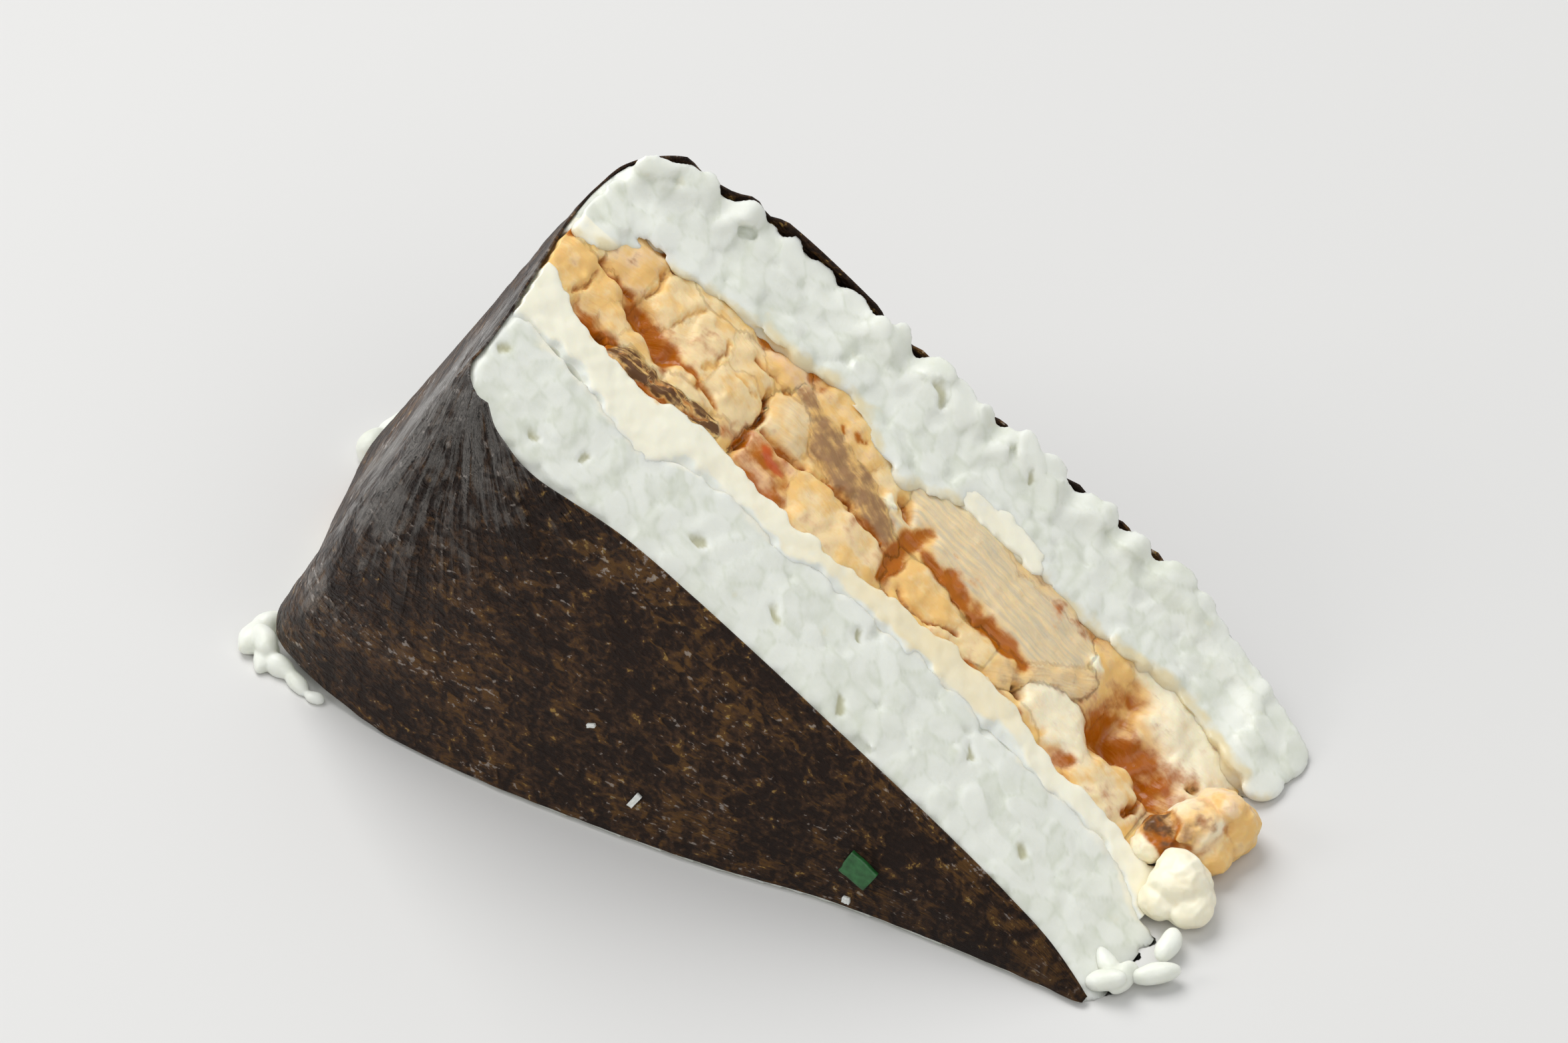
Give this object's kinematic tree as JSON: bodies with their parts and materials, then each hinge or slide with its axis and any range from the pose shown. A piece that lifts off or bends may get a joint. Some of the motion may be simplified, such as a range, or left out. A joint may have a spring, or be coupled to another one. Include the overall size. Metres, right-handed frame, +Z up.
{
  "type": "rice ball half",
  "caption": "Half of a triangular rice ball wrapped in a seaweed sheet, cut open and lying on its side, with cream and a flaky filling between layers of rice.",
  "frame": {"origin": "middle of the bounding box at the floor that the half lies on", "axes": "+X along the open side that it lies on, from the wrapped corner to the tip; +Y from the front to the back through the layers; +Z up"},
  "size_m": [0.0996, 0.0504, 0.0447],
  "materials": {
    "rice": "moist, slightly translucent cooked rice",
    "cream": "soft off-white cream dressing",
    "flakes": "moist flaked filling in orange-brown sauce",
    "meat": "moist fibrous cooked flesh",
    "skin": "glossy browned skin",
    "seaweed": "thin dark roasted seaweed sheet with a soft sheen"
  },
  "bodies": {
    "root": {"rice_front": "rice", "rice_back": "rice", "cream_layer": "cream", "cream_patch": "cream", "cream_blob": "cream", "filling_left": "flakes", "filling_skin": "skin", "filling_middle": "meat", "filling_slab": "meat", "filling_under_slab": "flakes", "filling_pink": "meat", "filling_right": "flakes", "end_chunk": "meat", "tip_grain_1": "rice", "tip_grain_2": "rice", "seaweed_sheet": "seaweed"}
  },
  "joints": []
}
